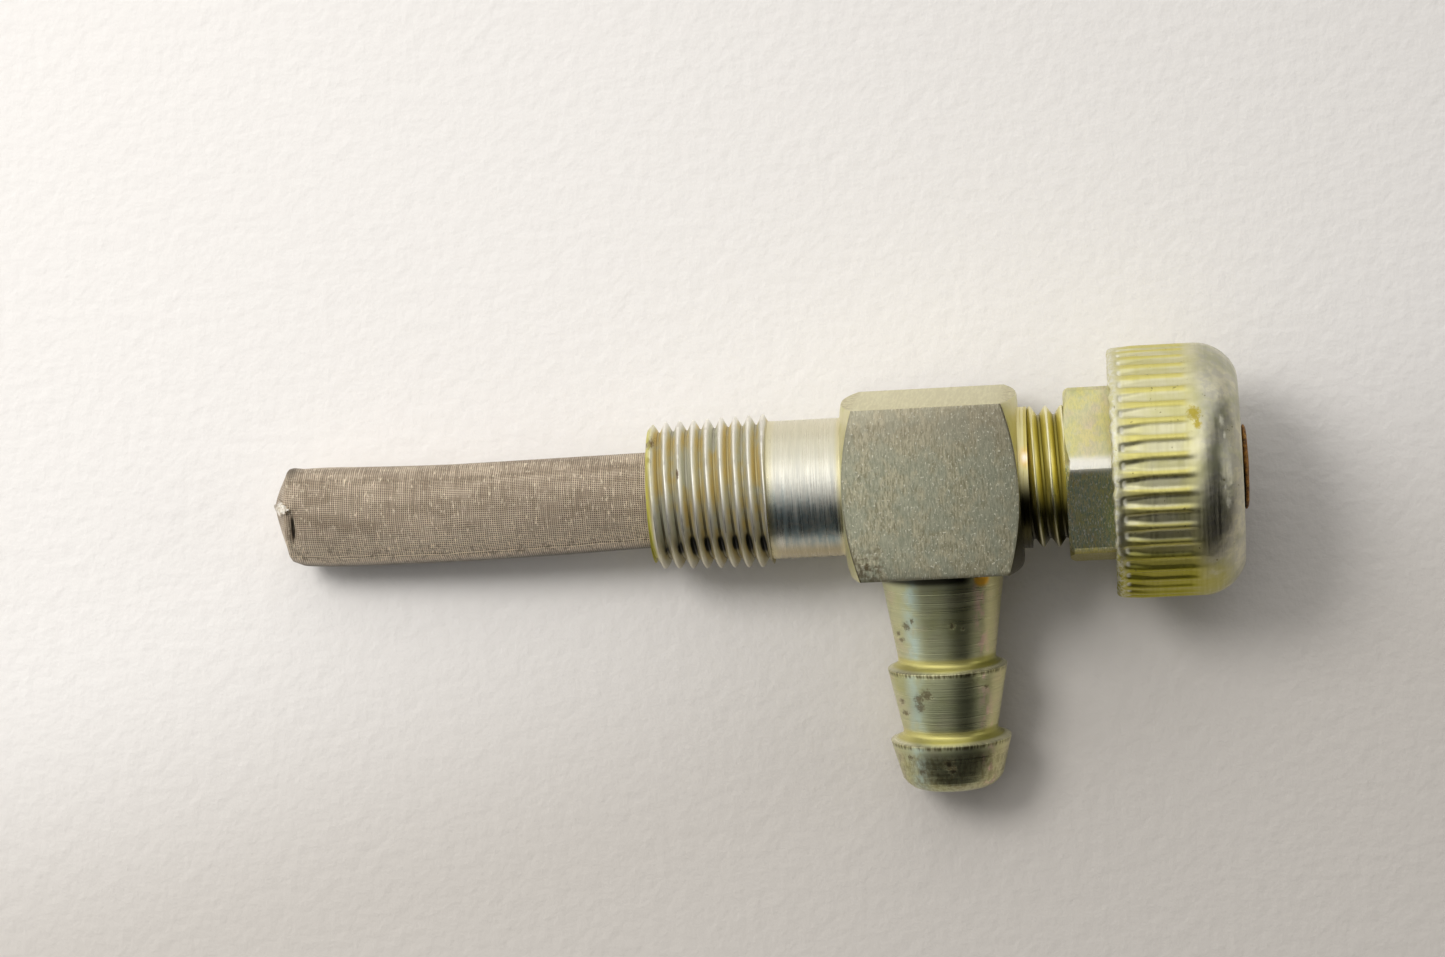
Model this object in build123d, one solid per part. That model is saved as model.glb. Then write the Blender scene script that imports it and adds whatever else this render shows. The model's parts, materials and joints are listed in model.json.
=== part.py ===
from build123d import *
import math
import os

# A screw-down fuel tap for a small engine's tank, with its gauze strainer. Sizes are millimetres.
#
# Every piece is made in the tap's own axes: the bore lies along X with the knob towards +X, the
# outlet barb points along -Y, and the origin is on the bore axis, midway along the square body.
# The last function lays the finished tap down on a flat surface as it comes to rest, on the
# knob's rim, the strainer's folded end and the barb's last ring.

# Square body, sawn from bar and turned at both ends
body_across_flats = 11.45
body_length = 11.75
body_land_diameter = 11.3       # round flat that the turning tool leaves on each end
body_turned_slope = 21.0        # degrees between a turned end and a square-cut one

# Spigot and taper thread that screw into the tank
spigot_diameter = 9.3
spigot_length = 5.05
tank_thread_diameter = 10.1     # over the crests, half way along its slight taper
tank_thread_length = 8.05
tank_thread_chamfer = 0.45

# Threaded neck that carries the gland nut
neck_diameter = 9.5
neck_length = 7.4

# Waterways and working bores inside the body
inlet_bore_diameter = 7.2
inlet_bore_depth = 12.0
seat_hole_diameter = 2.6
seat_offset = 3.2               # the seat's face lies this far towards the tank from the middle
chamber_diameter = 5.4
chamber_length = 7.0
spindle_thread_diameter = 6.35
packing_recess_diameter = 7.3
packing_recess_depth = 1.9

# Strainer of fine gauze, rolled with a lap and folded shut at its end
gauze_diameter = 6.65
gauze_free_length = 24.7        # from the thread's end to the fold's corners
gauze_insert_length = 10.5
gauze_thickness = 0.25
gauze_fold_depth = 1.1
gauze_point_diameter = 1.0
lap_thickness = 0.12
lap_width_angle = 34.0
lap_edge_angle = 48.0           # from straight up towards the barb
solder_height = 0.22
ferrule_wall = 0.4
ferrule_length = 5.0

# Hose barb, turned on its own and pressed into the body
barb_offset = 0.3               # the barb stands this far towards the knob from the middle
barb_bore_diameter = 3.6
barb_tail_diameter = 6.2
barb_tail_length = 2.2
barb_root_diameter = 8.45
barb_waist_diameter = 6.6
barb_root_length = 6.75
barb_ring_diameter = 8.1
barb_ring_length = 4.9
barb_groove_diameter = 6.4
barb_end_ring_diameter = 8.2
barb_end_ring_length = 3.35
barb_shoulder_length = 0.5      # the back of each ring slopes over this length
barb_end_diameter = 6.8
barb_end_chamfer = 0.75

# Gland nut, its washer and its packing
nut_across_flats = 11.1
nut_length = 6.75
nut_gap = 3.1                   # neck left showing between the body and the nut
nut_end_wall = 1.6
nut_chamfer_slope = 25.0
nut_turn = 13.5                 # one corner lies this far from straight up, away from the barb
washer_thickness = 0.6
washer_diameter = 8.2

# Valve spindle and its swivelling tip
spindle_shank_diameter = 5.0
spindle_thread_length = 5.2
spindle_nose_diameter = 3.8
spindle_nose_length = 4.4
spindle_nose_gap = 1.1          # length of the tip's head that stands out of the nose
tenon_diameter = 4.4
tenon_across_flats = 3.4
peened_head_diameter = 5.7
peened_head_height = 0.35
tip_head_diameter = 3.4
tip_half_angle = 25.0
tip_nose_length = 0.9           # length of the cone that enters the seat's hole
tip_pin_diameter = 1.5
tip_pin_length = 1.5
tip_bead_diameter = 2.1
tip_bead_length = 0.8

# Pressed steel knob with a fluted rim
knob_diameter = 16.9
knob_length = 8.7
knob_overlap = 3.05             # the nut stands this far out of the knob's open end
knob_wall = 0.95
knob_corner_radius = 3.0
knob_corner_steps = 4           # flats that stand for the round of the corner
knob_rim_chamfer = 0.25
flute_count = 44
flute_depth = 0.25
flute_rim = 0.45                # plain band between the open end and the flutes
ridge_width = 0.22
flute_floor_width = 0.5

# Clearances
running_clearance = 0.05        # on radius, between pieces that turn or slide
thread_clearance = 0.05         # on radius, between a male and a female thread
seated_clearance = 0.02         # between pieces that are put together by hand
lift = 1.82                     # travel of the spindle from shut to open
lift_margin = 0.1
bar_margin = 0.1                # the turned envelopes reach this far past a bar's corners

# Places along the bore, worked out from the sizes above
body_tank_end = -body_length / 2
body_neck_end = body_length / 2
spigot_end = body_tank_end - spigot_length
thread_end = spigot_end - tank_thread_length
neck_end = body_neck_end + neck_length
seat_face = -seat_offset
chamber_end = seat_face + chamber_length
packing_floor = neck_end - packing_recess_depth
nut_start = body_neck_end + nut_gap
nut_end = nut_start + nut_length
nut_floor = nut_end - nut_end_wall
washer_start = nut_floor - washer_thickness
knob_start = nut_start + knob_overlap
knob_end = knob_start + knob_length
knob_floor = knob_end - knob_wall
spindle_thread_end = packing_floor - lift - lift_margin
spindle_thread_start = spindle_thread_end - spindle_thread_length
gauze_corner = thread_end - gauze_free_length
gauze_point = gauze_corner - gauze_fold_depth
gauze_mouth = thread_end + gauze_insert_length
face_distance = body_across_flats / 2
tip_seat_radius = seat_hole_diameter / 2 - running_clearance
tip_head_start = seat_face + (tip_head_diameter / 2 - tip_seat_radius) / math.tan(
    math.radians(tip_half_angle)
)
nose_face = tip_head_start + spindle_nose_gap


def turned(*outline):
    """A round piece from its half outline of (place along the bore, radius) points."""
    return revolve(make_face(Polyline(*outline, close=True)), Axis.X)


def drilled(start, end, diameter):
    """A plain round length of the bore axis."""
    return turned((start, 0), (start, diameter / 2), (end, diameter / 2), (end, 0))


def towards_outlet(shape):
    """Turn a piece made along X so that its +X end points along the barb, and set it on the barb's axis."""
    return Pos(barb_offset, 0, 0) * Rot(0, 0, -90) * shape


def end_turning(start, end, land_radius, slope, corner_radius):
    """The round envelope that a bar keeps once both of its ends are turned to a shallow crown.

    The crown leaves a flat land and reaches the stated slope halfway from there to the corner.
    """
    middle_radius = (land_radius + corner_radius) / 2
    crown_radius = middle_radius / math.sin(math.radians(slope))

    def drop(radius):
        return math.sqrt(crown_radius**2 - land_radius**2) - math.sqrt(crown_radius**2 - radius**2)

    def crown(land, inward):
        return ThreePointArc(
            (land, land_radius),
            (land + inward * drop(middle_radius), middle_radius),
            (land + inward * drop(corner_radius), corner_radius),
        )

    outline = (
        Line((start, 0), (start, land_radius))
        + crown(start, 1)
        + Line((start + drop(corner_radius), corner_radius), (end - drop(corner_radius), corner_radius))
        + crown(end, -1)
        + Line((end, land_radius), (end, 0))
        + Line((end, 0), (start, 0))
    )
    return revolve(make_face(outline), Axis.X)


def make_tap_body():
    bar = extrude(
        Plane.YZ.offset(body_tank_end) * Rectangle(body_across_flats, body_across_flats),
        body_length,
    )
    bar_corner_radius = face_distance * math.sqrt(2) + bar_margin
    block = bar & end_turning(
        body_tank_end, body_neck_end, body_land_diameter / 2, body_turned_slope, bar_corner_radius
    )
    stems = turned(
        (thread_end, 0),
        (thread_end, tank_thread_diameter / 2 - tank_thread_chamfer),
        (thread_end + tank_thread_chamfer, tank_thread_diameter / 2),
        (spigot_end, tank_thread_diameter / 2),
        (spigot_end, spigot_diameter / 2),
        (body_tank_end, spigot_diameter / 2),
        (body_neck_end, neck_diameter / 2),
        (neck_end, neck_diameter / 2),
        (neck_end, 0),
    )
    bores = [
        drilled(thread_end, thread_end + inlet_bore_depth, inlet_bore_diameter),
        drilled(thread_end + inlet_bore_depth, seat_face, seat_hole_diameter),
        drilled(seat_face, chamber_end, chamber_diameter),
        drilled(chamber_end, packing_floor, spindle_thread_diameter + 2 * thread_clearance),
        drilled(packing_floor, neck_end, packing_recess_diameter),
        towards_outlet(drilled(0, face_distance, barb_bore_diameter)),
        towards_outlet(
            drilled(
                face_distance - barb_tail_length - seated_clearance,
                face_distance,
                barb_tail_diameter + 2 * seated_clearance,
            )
        ),
    ]
    return block + stems - bores


def make_outlet_barb():
    root_end = face_distance + barb_root_length
    ring_end = root_end + barb_ring_length
    barb_end = ring_end + barb_end_ring_length
    bore = barb_bore_diameter / 2
    return towards_outlet(
        turned(
            (face_distance - barb_tail_length, bore),
            (face_distance - barb_tail_length, barb_tail_diameter / 2),
            (face_distance, barb_tail_diameter / 2),
            (face_distance, barb_root_diameter / 2),
            (root_end - barb_shoulder_length, barb_waist_diameter / 2),
            (root_end, barb_ring_diameter / 2),
            (ring_end - barb_shoulder_length, barb_groove_diameter / 2),
            (ring_end, barb_end_ring_diameter / 2),
            (barb_end - barb_end_chamfer, barb_end_diameter / 2),
            (barb_end, barb_end_diameter / 2 - barb_end_chamfer),
            (barb_end, bore),
        )
    )


def make_strainer_gauze():
    radius = gauze_diameter / 2

    def filled(inset):
        return turned(
            (gauze_point + inset, 0),
            (gauze_point + inset, gauze_point_diameter / 2),
            (gauze_corner, radius - inset),
            (gauze_mouth, radius - inset),
            (gauze_mouth, 0),
        )

    lap_outline = make_face(
        Polyline(
            (gauze_corner, radius - gauze_thickness / 2),
            (gauze_corner, radius + lap_thickness),
            (gauze_mouth, radius + lap_thickness),
            (gauze_mouth, radius - gauze_thickness / 2),
            close=True,
        )
    )
    lap = revolve(lap_outline, Axis.X, revolution_arc=lap_width_angle)
    lap = Rot(90 + lap_edge_angle, 0, 0) * lap
    return filled(0) + lap - filled(gauze_thickness)


def make_tip_solder():
    """A small bead, flattened where it sits on the fold's point."""
    radius = gauze_point_diameter / 2
    return turned(
        (gauze_point, 0),
        (gauze_point, radius),
        (gauze_point - solder_height / 2, radius),
        (gauze_point - solder_height, radius / 2),
        (gauze_point - solder_height, 0),
    )


def make_strainer_ferrule():
    outer = gauze_diameter / 2 - gauze_thickness - seated_clearance
    start = gauze_mouth - ferrule_length
    return turned(
        (start, outer - ferrule_wall),
        (start, outer),
        (gauze_mouth, outer),
        (gauze_mouth, outer - ferrule_wall),
    )


def make_gland_nut():
    corner_radius = nut_across_flats / math.sqrt(3)
    bar = extrude(
        Plane.YZ.offset(nut_start)
        * Rot(0, 0, 90 - nut_turn)
        * RegularPolygon(corner_radius, 6),
        nut_length,
    )
    # the envelope runs on past the end inside the knob, which is left square
    hexagon = bar & end_turning(
        nut_start, knob_end, nut_across_flats / 2, nut_chamfer_slope, corner_radius + bar_margin
    )
    return hexagon - [
        drilled(nut_start, nut_floor, neck_diameter + 2 * thread_clearance),
        drilled(nut_floor, nut_end, spindle_shank_diameter + 4 * running_clearance),
    ]


def make_ring(start, end, outer_diameter, inner_diameter):
    return drilled(start, end, outer_diameter) - drilled(start, end, inner_diameter)


def make_gland_washer():
    return make_ring(
        washer_start, nut_floor, washer_diameter, spindle_shank_diameter + 4 * running_clearance
    )


def make_gland_packing():
    return make_ring(
        packing_floor,
        washer_start,
        packing_recess_diameter - 2 * seated_clearance,
        spindle_shank_diameter + 2 * running_clearance,
    )


def tip_socket():
    """The stepped hole in the spindle's nose that lets the tip swivel but holds its bead."""
    neck = tip_pin_diameter / 2 + running_clearance
    bead = tip_bead_diameter / 2 + running_clearance
    bead_start = nose_face + tip_pin_length - running_clearance
    bead_end = nose_face + tip_pin_length + tip_bead_length + running_clearance
    return turned(
        (nose_face, 0),
        (nose_face, neck),
        (bead_start, neck),
        (bead_start, bead),
        (bead_end, bead),
        (bead_end, 0),
    )


def make_valve_tip():
    head = tip_head_diameter / 2
    cone_slope = math.tan(math.radians(tip_half_angle))
    nose_radius = tip_seat_radius - tip_nose_length * cone_slope
    back = nose_face - running_clearance
    bead_start = nose_face + tip_pin_length
    return turned(
        (seat_face - tip_nose_length, 0),
        (seat_face - tip_nose_length, nose_radius),
        (tip_head_start, head),
        (back, head),
        (back, tip_pin_diameter / 2),
        (bead_start, tip_pin_diameter / 2),
        (bead_start, tip_bead_diameter / 2),
        (bead_start + tip_bead_length, tip_bead_diameter / 2),
        (bead_start + tip_bead_length, 0),
    )


def tenon(extra):
    """The two flats at the knob's end of the spindle, or the hole for them when extra is above 0."""
    rod = drilled(knob_floor, knob_end, tenon_diameter + 2 * extra)
    flats = Pos((knob_floor + knob_end) / 2, 0, 0) * Box(
        knob_wall, tenon_across_flats + 2 * extra, tenon_diameter * 2
    )
    return rod & flats


def make_valve_spindle():
    shank = spindle_shank_diameter / 2
    thread = spindle_thread_diameter / 2
    nose = spindle_nose_diameter / 2
    nose_end = nose_face + spindle_nose_length
    stem = turned(
        (nose_face, 0),
        (nose_face, nose),
        (nose_end, nose),
        (nose_end, shank),
        (spindle_thread_start, shank),
        (spindle_thread_start, thread),
        (spindle_thread_end, thread),
        (spindle_thread_end, shank),
        (knob_floor, shank),
        (knob_floor, 0),
    )
    head_top = knob_end + peened_head_height
    head = turned(
        (knob_end, 0),
        (knob_end, peened_head_diameter / 2),
        (knob_end + peened_head_height / 2, peened_head_diameter / 2),
        (head_top, peened_head_diameter / 2 - peened_head_height / 2),
        (head_top, 0),
    )
    return stem + tenon(0) + head - tip_socket()


def flute_sheath(radius):
    """What is taken off the knob's side: a ring whose inner outline is the flutes' cross-section."""
    pitch = 2 * math.pi * radius / flute_count
    half_floor = flute_floor_width / 2
    half_flute = (pitch - ridge_width) / 2
    # the flutes' sides run on past the knob's side, to where half of each ridge is left
    half_mouth = half_flute + ridge_width / 4
    rise = flute_depth * (half_mouth - half_flute) / (half_flute - half_floor)
    corners = (
        (-half_mouth, rise),
        (-half_floor, -flute_depth),
        (half_floor, -flute_depth),
        (half_mouth, rise),
    )
    outline = []
    for flute in range(flute_count):
        for across, height in corners:
            angle = (flute * pitch + across) / radius
            reach = radius + height
            outline.append((reach * math.cos(angle), reach * math.sin(angle)))
    first = knob_start + flute_rim
    last = knob_end - knob_corner_radius
    core = extrude(Plane.YZ.offset(first) * make_face(Polyline(*outline, close=True)), last - first)
    return drilled(first, last, 2 * radius + 4 * flute_depth) - core


def make_knob():
    radius = knob_diameter / 2
    corner_centre = (knob_end - knob_corner_radius, radius - knob_corner_radius)
    turns = [math.pi / 2 * step / knob_corner_steps for step in range(knob_corner_steps + 1)]
    shoulder = [
        (
            corner_centre[0] + knob_corner_radius * math.sin(turn),
            corner_centre[1] + knob_corner_radius * math.cos(turn),
        )
        for turn in turns
    ]
    shell = turned(
        (knob_start, 0),
        (knob_start, radius - knob_rim_chamfer),
        (knob_start + knob_rim_chamfer, radius),
        *shoulder,
        (knob_end, 0),
    )
    inner = radius - knob_wall
    bend = knob_corner_radius - knob_wall
    hollow = turned(
        (knob_start, 0),
        (knob_start, inner),
        (knob_floor - bend, inner),
        (knob_floor, inner - bend),
        (knob_floor, 0),
    )
    return shell - hollow - tenon(seated_clearance) - flute_sheath(radius)


def resting_attitude():
    """Pitch, roll and height at which the tap lies on a flat surface, in degrees and millimetres."""
    rim_place = knob_start + knob_rim_chamfer
    rim_radius = knob_diameter / 2
    end_radius = gauze_diameter / 2
    pitch = math.atan2(rim_radius - end_radius, rim_place - gauze_corner)
    height = rim_radius * math.cos(pitch) - rim_place * math.sin(pitch)

    def roll_to_ring(distance, radius):
        reach = math.hypot(distance, radius)
        level = height + barb_offset * math.sin(pitch)
        lean = math.asin(min(1, level / reach)) - math.atan2(radius, distance)
        return math.asin(math.sin(lean) / math.cos(pitch))

    def roll_to_body_edge():
        edge = face_distance * math.sqrt(2)
        level = height + body_tank_end * math.sin(pitch)
        return math.asin(min(1, level / (edge * math.cos(pitch)))) - math.pi / 4

    ring = face_distance + barb_root_length
    end_ring = ring + barb_ring_length
    roll = min(
        roll_to_ring(ring, barb_ring_diameter / 2),
        roll_to_ring(end_ring, barb_end_ring_diameter / 2),
        roll_to_body_edge(),
    )
    return math.degrees(pitch), math.degrees(roll), height


def laid_down(pieces):
    """Where the tap's own origin goes, with the finished tap on a surface at height 0 about the origin."""
    pitch, roll, height = resting_attitude()
    lying = Pos(0, 0, height) * Rot(0, -pitch, 0) * Rot(roll, 0, 0)
    box = Compound([lying * piece for piece in pieces.values()]).bounding_box()
    return Pos(-box.center().X, -box.center().Y, -box.min.Z) * lying


pieces = {
    "tap_body": make_tap_body(),
    "outlet_barb": make_outlet_barb(),
    "strainer_gauze": make_strainer_gauze(),
    "tip_solder": make_tip_solder(),
    "strainer_ferrule": make_strainer_ferrule(),
    "gland_nut": make_gland_nut(),
    "gland_washer": make_gland_washer(),
    "gland_packing": make_gland_packing(),
    "valve_tip": make_valve_tip(),
    "valve_spindle": make_valve_spindle(),
    "knob": make_knob(),
}
resting_place = laid_down(pieces)

os.makedirs("parts", exist_ok=True)
for name, piece in pieces.items():
    export_step(resting_place * piece, f"parts/{name}.step")
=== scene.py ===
# %% [markdown]
# A fuel tap screws into the tank of a small engine. Fuel runs in through a strainer of fine
# wire gauze, past a needle valve and out of a hose barb, and a fluted knob opens the valve.
# This lesson dresses the finished solids of the tap for a picture. The solids come in first
# and stay where they are, so every piece made here is placed by the same sizes.

# %% The frame that everything is built on
import json
import math

import bmesh
import bpy
from mathutils import Matrix, Vector, noise


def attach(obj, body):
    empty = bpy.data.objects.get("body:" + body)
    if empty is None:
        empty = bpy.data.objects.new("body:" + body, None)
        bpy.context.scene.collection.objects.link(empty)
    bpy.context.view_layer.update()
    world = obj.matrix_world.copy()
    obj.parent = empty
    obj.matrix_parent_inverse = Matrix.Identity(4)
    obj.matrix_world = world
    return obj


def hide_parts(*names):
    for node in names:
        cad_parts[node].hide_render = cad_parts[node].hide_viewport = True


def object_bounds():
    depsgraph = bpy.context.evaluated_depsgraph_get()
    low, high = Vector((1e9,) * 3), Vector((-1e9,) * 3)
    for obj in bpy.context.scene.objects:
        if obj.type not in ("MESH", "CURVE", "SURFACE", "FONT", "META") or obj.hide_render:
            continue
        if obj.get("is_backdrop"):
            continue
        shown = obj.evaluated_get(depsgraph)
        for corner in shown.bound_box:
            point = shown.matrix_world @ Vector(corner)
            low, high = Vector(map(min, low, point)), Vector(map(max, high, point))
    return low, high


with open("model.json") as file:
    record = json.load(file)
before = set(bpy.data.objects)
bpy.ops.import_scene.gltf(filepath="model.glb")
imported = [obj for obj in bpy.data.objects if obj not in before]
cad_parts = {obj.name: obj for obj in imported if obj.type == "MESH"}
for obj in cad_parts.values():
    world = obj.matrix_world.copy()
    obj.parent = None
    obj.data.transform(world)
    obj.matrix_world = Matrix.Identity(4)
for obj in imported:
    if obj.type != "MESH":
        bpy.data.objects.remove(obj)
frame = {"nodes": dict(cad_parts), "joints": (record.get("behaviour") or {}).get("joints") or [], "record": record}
solid_box = [list(corner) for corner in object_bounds()]
print("solids:", sorted(frame["nodes"]))

# %% [markdown]
# The tap lies a little askew, because it rests on the knob's rim, the barb and the strainer's
# end. It is far easier to model it straight. So every piece is made in the tap's own axes, in
# millimetres: the bore along X with the knob towards +X, the barb along -Y and the origin on
# the bore in the middle of the square body. One matrix then lays each mesh down. The hinge of
# the knob and the mount of the barb say where those axes are.

# %% The tap's own axes
MM = 0.001
knob_turn = next(joint for joint in frame["joints"] if joint["name"] == "knob_turn")
hose_barb = next(mount for mount in frame["record"]["mounts"] if mount["name"] == "hose_barb")
bore_axis = Vector(knob_turn["axis"]).normalized()
away_from_barb = -Vector(hose_barb["axis"]).normalized()
tap_turn = Matrix((bore_axis, away_from_barb, bore_axis.cross(away_from_barb))).transposed()
tap_place = Matrix.LocRotScale(Vector(knob_turn["pos_m"]), tap_turn, Vector((MM, MM, MM)))
tap_angles = [round(math.degrees(turn), 2) for turn in tap_turn.to_euler()]
print("tap origin", tap_place.translation[:], "turned", tap_angles)

# %% [markdown]
# These are the sizes that several pieces share, in millimetres along the bore or from it.

# %% Shared sizes
BODY_END = 5.875
FACE = 5.725
LAND = 5.65
BAR_CORNER, BAR_SLOPE = FACE * math.sqrt(2) + 0.1, 21
SPIGOT_END = -10.925
THREAD_END = -18.975
NECK_END = 13.275
SPIGOT_RADIUS = 4.65
NECK_RADIUS = 4.75
NUT_START, NUT_END, NUT_FLOOR = 8.975, 15.725, 14.125
KNOB_START, KNOB_END = 12.025, 20.725
GAUZE_CORNER, GAUZE_POINT, GAUZE_MOUTH, GAUZE_RADIUS = -43.675, -44.775, -8.475, 3.325
SEAT, CHAMBER_END, PACKING_FLOOR = -3.2, 3.8, 11.375

# %% [markdown]
# Nearly every piece of a tap is turned on a lathe, so nearly every mesh here is spun: half of
# its outline is drawn as points and the spin operator turns them round the bore. An outline
# that meets the axis at both ends makes a plain solid. One that closes on itself makes a ring
# with a hole through it.

# %% Turning an outline round the bore
def outward(bm, closeness=1e-4):
    """Merge doubled points and turn every face outwards."""
    bmesh.ops.remove_doubles(bm, verts=bm.verts, dist=closeness)
    bmesh.ops.dissolve_degenerate(bm, dist=closeness, edges=bm.edges)
    bmesh.ops.recalc_face_normals(bm, faces=bm.faces)
    return bm


def spun(outline, steps=96, ring=False):
    """A bmesh turned round the X axis from (place along it, radius) points."""
    bm = bmesh.new()
    points = [bm.verts.new((x, 0, radius)) for x, radius in outline]
    pairs = list(zip(points, points[1:])) + ([(points[-1], points[0])] if ring else [])
    edges = [bm.edges.new(pair) for pair in pairs]
    bmesh.ops.spin(
        bm, geom=points + edges, cent=(0, 0, 0), axis=(1, 0, 0), dvec=(0, 0, 0),
        angle=math.tau, steps=steps, use_merge=True, use_duplicate=False,
    )
    return outward(bm)


def soften(bm, width, sharper_than=30, segments=2, where=lambda edge: True):
    """Bevel the edges at which two faces meet sharply."""
    edges = [
        edge for edge in bm.edges
        if len(edge.link_faces) == 2
        and edge.calc_face_angle(0) > math.radians(sharper_than) and where(edge)
    ]
    bmesh.ops.bevel(
        bm, geom=edges, offset=width, offset_type="OFFSET", affect="EDGES",
        segments=segments, profile=0.5, material=-1, clamp_overlap=True,
    )
    bmesh.ops.recalc_face_normals(bm, faces=bm.faces)


def arc(centre, radius, first, last, count):
    """Points on an arc in the half outline; angles in degrees, from the bore axis."""
    angles = [math.radians(first + (last - first) * i / count) for i in range(count + 1)]
    return [(centre[0] + radius * math.cos(a), centre[1] + radius * math.sin(a)) for a in angles]


# %% [markdown]
# A finished mesh is laid down with the matrix, so that its object can stay at the origin. It
# rides on a body of the mechanism, and it hides the plain solid that it stands for. Faces are
# smooth, and edges sharper than a given angle are marked so that they stay crisp.

# %% Finishing a piece
def finished(bm, name, body, replaces, finishes, crisp=40):
    """Lay a mesh down, give it its finishes and put it in place of its solids."""
    mesh = bpy.data.meshes.new(name)
    bm.transform(tap_place)
    for face in bm.faces:
        face.smooth = True
    bm.to_mesh(mesh)
    bm.free()
    mesh.set_sharp_from_angle(angle=math.radians(crisp))
    for finish in finishes:
        mesh.materials.append(finish)
    piece = bpy.data.objects.new(name, mesh)
    bpy.context.scene.collection.objects.link(piece)
    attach(piece, body)
    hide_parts(*replaces)
    print(name, len(mesh.polygons), "faces")
    return piece


def to_radius(point, radius):
    """Move a point straight towards the bore or away from it."""
    reach = math.hypot(point.co.y, point.co.z)
    point.co.y, point.co.z = point.co.y * radius / reach, point.co.z * radius / reach


def joined(*parts):
    """Several closed shells as one mesh."""
    whole = bmesh.new()
    for part in parts:
        loose = bpy.data.meshes.new("part")
        part.to_mesh(loose)
        part.free()
        whole.from_mesh(loose)
        bpy.data.meshes.remove(loose)
    return whole


# %% [markdown]
# A finish is a small network of shader nodes. To keep it readable, the class below wraps a
# node's output so that ordinary signs work on it: an expression such as 1 - speckle adds the
# Math node that does it. Every other node comes from the one method called node.

# %% Sums with shader sockets
class Signal:
    """An output of a shader node that can be used in a sum."""

    def __init__(self, tree, socket):
        self.tree, self.socket = tree, socket

    def node(self, kind, settings=None, values=None, out=0):
        return node(self.tree, kind, settings, values, out)

    def math(self, operation, *terms):
        return self.node("ShaderNodeMath", {"operation": operation}, dict(enumerate(terms)))

    def __add__(self, other):
        return self.math("ADD", self, other)

    __radd__ = __add__

    def __sub__(self, other):
        return self.math("SUBTRACT", self, other)

    def __rsub__(self, other):
        return self.math("SUBTRACT", other, self)

    def __mul__(self, other):
        return self.math("MULTIPLY", self, other)

    __rmul__ = __mul__

    def __truediv__(self, other):
        return self.math("DIVIDE", self, other)

    def __pow__(self, power):
        return self.math("POWER", self, power)

    def fade(self, low, high, start=0.0, end=1.0):
        """Runs smoothly from start to end as this value goes from low to high."""
        return self.node(
            "ShaderNodeMapRange", {"interpolation_type": "SMOOTHSTEP"},
            {"Value": self, "From Min": low, "From Max": high, "To Min": start, "To Max": end},
        )

    def near(self, place, reach):
        """1 at a place and 0 further than reach from it."""
        return self.math("ABSOLUTE", self - place).fade(0, reach, 1, 0)


def node(tree, kind, settings=None, values=None, out=0):
    """Add a node, set it up, fill or link its sockets, and give one of its outputs."""
    made = tree.nodes.new(kind)
    for name, value in (settings or {}).items():
        setattr(made, name, value)
    for name, value in (values or {}).items():
        socket = made.inputs[name]
        if isinstance(value, Signal):
            tree.links.new(value.socket, socket)
        elif isinstance(value, tuple) and len(value) == 3 and socket.type == "RGBA":
            socket.default_value = (*value, 1)
        else:
            socket.default_value = value
    return Signal(tree, made.outputs[out])


def mixed(factor, first, second):
    """A colour that runs from first to second as factor goes from 0 to 1."""
    source = next(term for term in (factor, first, second) if isinstance(term, Signal))
    return source.node("ShaderNodeMix", {"data_type": "RGBA"}, {0: factor, 6: first, 7: second}, out=2)


def layered(colour, *layers):
    """A colour with others laid over it, each given as how far it covers and what it is."""
    for cover, tint in layers:
        colour = mixed(cover, colour, tint)
    return colour


# %% [markdown]
# All patterns are measured in the tap's own millimetres. A Mapping node of the Texture kind
# undoes the tilt and the scale of the tap, so a pattern can be told to run round the bore or
# along it. The barb has axes of its own, a quarter turn from the bore.

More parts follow.
